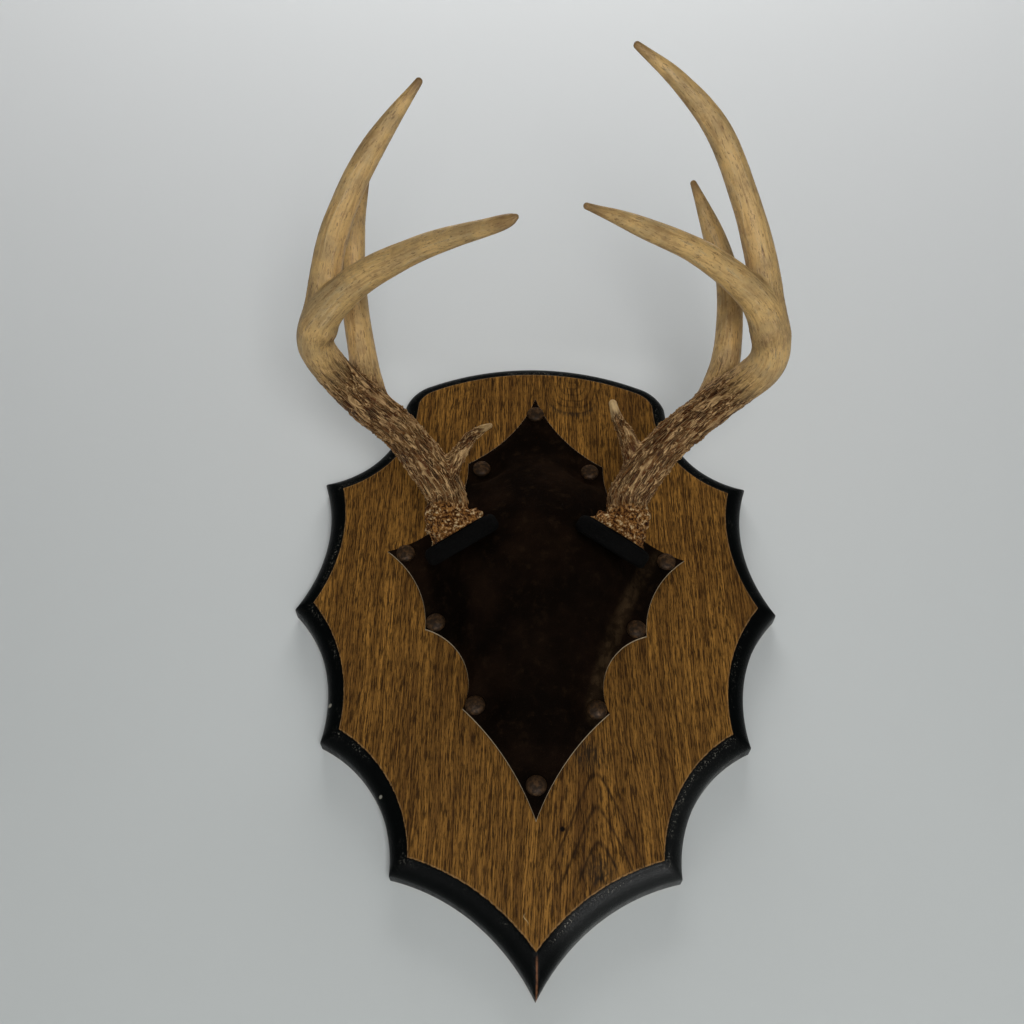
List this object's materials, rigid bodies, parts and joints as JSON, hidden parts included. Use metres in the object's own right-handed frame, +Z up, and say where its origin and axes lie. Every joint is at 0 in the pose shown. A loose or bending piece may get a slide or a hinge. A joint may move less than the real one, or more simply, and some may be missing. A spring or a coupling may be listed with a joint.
{
  "type": "antler wall hanging",
  "caption": "Pair of whitetail antlers under a leather cover on a scalloped oak shield, made to hang flat on a wall.",
  "frame": {"origin": "on the plaque's flat back, on its upright centre line, 137 mm below the crown of its arched top", "axes": "+Z up the wall, +X to the right as seen from the front, +Y into the wall, so the antlers reach out along -Y"},
  "size_m": [0.318, 0.2963, 0.447],
  "materials": {
    "oak_face": "satin brown stain on open-grained oak, edge moulding painted black",
    "dark_leather": "dark brown suede-like leather with a worn sheen",
    "hammered_copper": "aged hammered brown copper",
    "black_wrap": "matt black wrap",
    "antler": "natural antler, tan with red-brown gutters and a worn sheen"
  },
  "bodies": {
    "root": {"plaque": "oak_face", "leather_cover": "dark_leather", "left_pedicle_collar": "black_wrap", "right_pedicle_collar": "black_wrap", "left_antler": "antler", "right_antler": "antler", "tack_01": "hammered_copper", "tack_02": "hammered_copper", "tack_03": "hammered_copper", "tack_04": "hammered_copper", "tack_05": "hammered_copper", "tack_06": "hammered_copper", "tack_07": "hammered_copper", "tack_08": "hammered_copper", "tack_09": "hammered_copper", "tack_10": "hammered_copper"}
  },
  "joints": []
}
